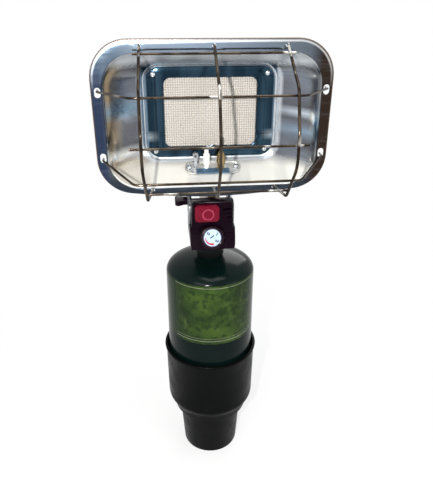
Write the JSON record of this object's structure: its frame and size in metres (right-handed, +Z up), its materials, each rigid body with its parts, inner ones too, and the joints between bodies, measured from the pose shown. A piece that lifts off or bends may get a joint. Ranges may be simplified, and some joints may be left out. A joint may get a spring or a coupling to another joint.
{
  "type": "portable propane heater",
  "caption": "Small radiant heater: reflector with ceramic burner and wire guard tilting on a regulator that screws on a gas cylinder in a stepped cup base",
  "frame": {"origin": "centre of the underside of the cup base, on the surface that the heater stands on", "axes": "+Z up along the cylinder axis, -Y the way the burner faces, +X to the right when looking at the burner"},
  "size_m": [0.219, 0.1577, 0.5029],
  "materials": {
    "black_plastic": "satin moulded black",
    "green_paint": "glossy dark green enamel",
    "brass": "turned brass",
    "black_casting": "black coated zinc casting",
    "black_rubber": "matte black rubber",
    "zinc_steel": "zinc plated steel",
    "white_plastic": "off white moulding",
    "housing_plastic": "satin black moulding",
    "grey_sheet": "galvanised sheet steel",
    "knob_plastic": "semi gloss black moulding",
    "dial_print": "pale blue printed disc",
    "red_plastic": "semi gloss crimson moulding",
    "white_fibre": "pressed white ceramic fibre",
    "burner_ceramic": "unglazed cream ceramic with fine holes",
    "polished_steel": "polished stainless sheet",
    "black_paint": "satin black enamel",
    "guard_wire": "bright nickel plated wire",
    "pilot_steel": "heat blued steel",
    "white_glaze": "white glazed ceramic",
    "copper_rod": "copper coloured probe"
  },
  "bodies": {
    "base": {"cup_base": "black_plastic"},
    "cylinder": {"fuel_cylinder": "green_paint", "cylinder_valve": "brass", "valve_core": "brass", "relief_valve": "brass"},
    "heater": {"regulator_body": "black_casting", "inlet_seal": "black_rubber", "inlet_pin": "brass", "diaphragm": "black_rubber", "diaphragm_spring": "zinc_steel", "diaphragm_cover": "zinc_steel", "diaphragm_screws": "zinc_steel", "safety_valve": "brass", "tip_switch": "white_plastic", "gas_riser": "brass", "housing_front": "housing_plastic", "housing_rear": "housing_plastic", "housing_screws": "zinc_steel", "piezo_igniter": "white_plastic", "button_spring": "zinc_steel", "tilt_bracket": "grey_sheet", "bracket_screws": "zinc_steel", "pivot_rivet": "zinc_steel"},
    "stem": {"valve_stem": "brass"},
    "knob": {"control_knob": "knob_plastic", "dial_plate": "dial_print"},
    "button": {"ignition_button": "red_plastic"},
    "clamp": {"wing_knob": "knob_plastic", "clamp_screw": "zinc_steel"},
    "head": {"head_bracket": "grey_sheet", "jet_holder": "brass", "gas_jet": "brass", "mixing_tube": "grey_sheet", "burner_plenum": "grey_sheet", "plaque_gasket": "white_fibre", "ceramic_plaque": "burner_ceramic", "burner_frame": "polished_steel", "burner_screws": "zinc_steel", "reflector": "polished_steel", "rear_cover": "black_paint", "rear_screws": "zinc_steel", "guard_upright_left": "guard_wire", "guard_upright_centre": "guard_wire", "guard_upright_right": "guard_wire", "guard_rail_top": "guard_wire", "guard_rail_upper": "guard_wire", "guard_rail_middle": "guard_wire", "guard_rail_lower": "guard_wire", "guard_rail_bottom": "guard_wire", "pilot_bracket": "pilot_steel", "pilot_burner": "zinc_steel", "electrode_insulator": "white_glaze", "igniter_electrode": "pilot_steel", "thermocouple": "copper_rod", "thermocouple_nut": "brass"}
  },
  "joints": [
    {"name": "cylinder_lift", "type": "slide", "parent": "base", "child": "cylinder", "axis": [0, 0, 1], "range_m": [0, 0.08]},
    {"name": "heater_unscrew", "type": "slide", "parent": "cylinder", "child": "heater", "axis": [0, 0, 1], "range_m": [0, 0.026]},
    {"name": "stem_turn", "type": "hinge", "parent": "heater", "child": "stem", "pos_m": [-0.0015, -0.03206, 0.3085], "axis": [0, -0.9397, 0.342], "range_deg": [0, 240]},
    {"name": "knob_push", "type": "slide", "parent": "stem", "child": "knob", "axis": [0, 0.9397, -0.342], "range_m": [0, 0.0025], "stiffness_N_per_m": 900, "springref_m": -0.002},
    {"name": "button_press", "type": "slide", "parent": "heater", "child": "button", "axis": [0, 1, 0], "range_m": [0, 0.0035], "stiffness_N_per_m": 900, "springref_m": -0.002, "deforming": ["button_spring"]},
    {"name": "clamp_turn", "type": "hinge", "parent": "heater", "child": "clamp", "pos_m": [-0.0235, 0.012, 0.3318], "axis": [-1, 0, 0], "continuous": true},
    {"name": "head_tilt", "type": "hinge", "parent": "heater", "child": "head", "pos_m": [0, 0.012, 0.3318], "axis": [-1, 0, 0], "range_deg": [-10, 30]}
  ]
}
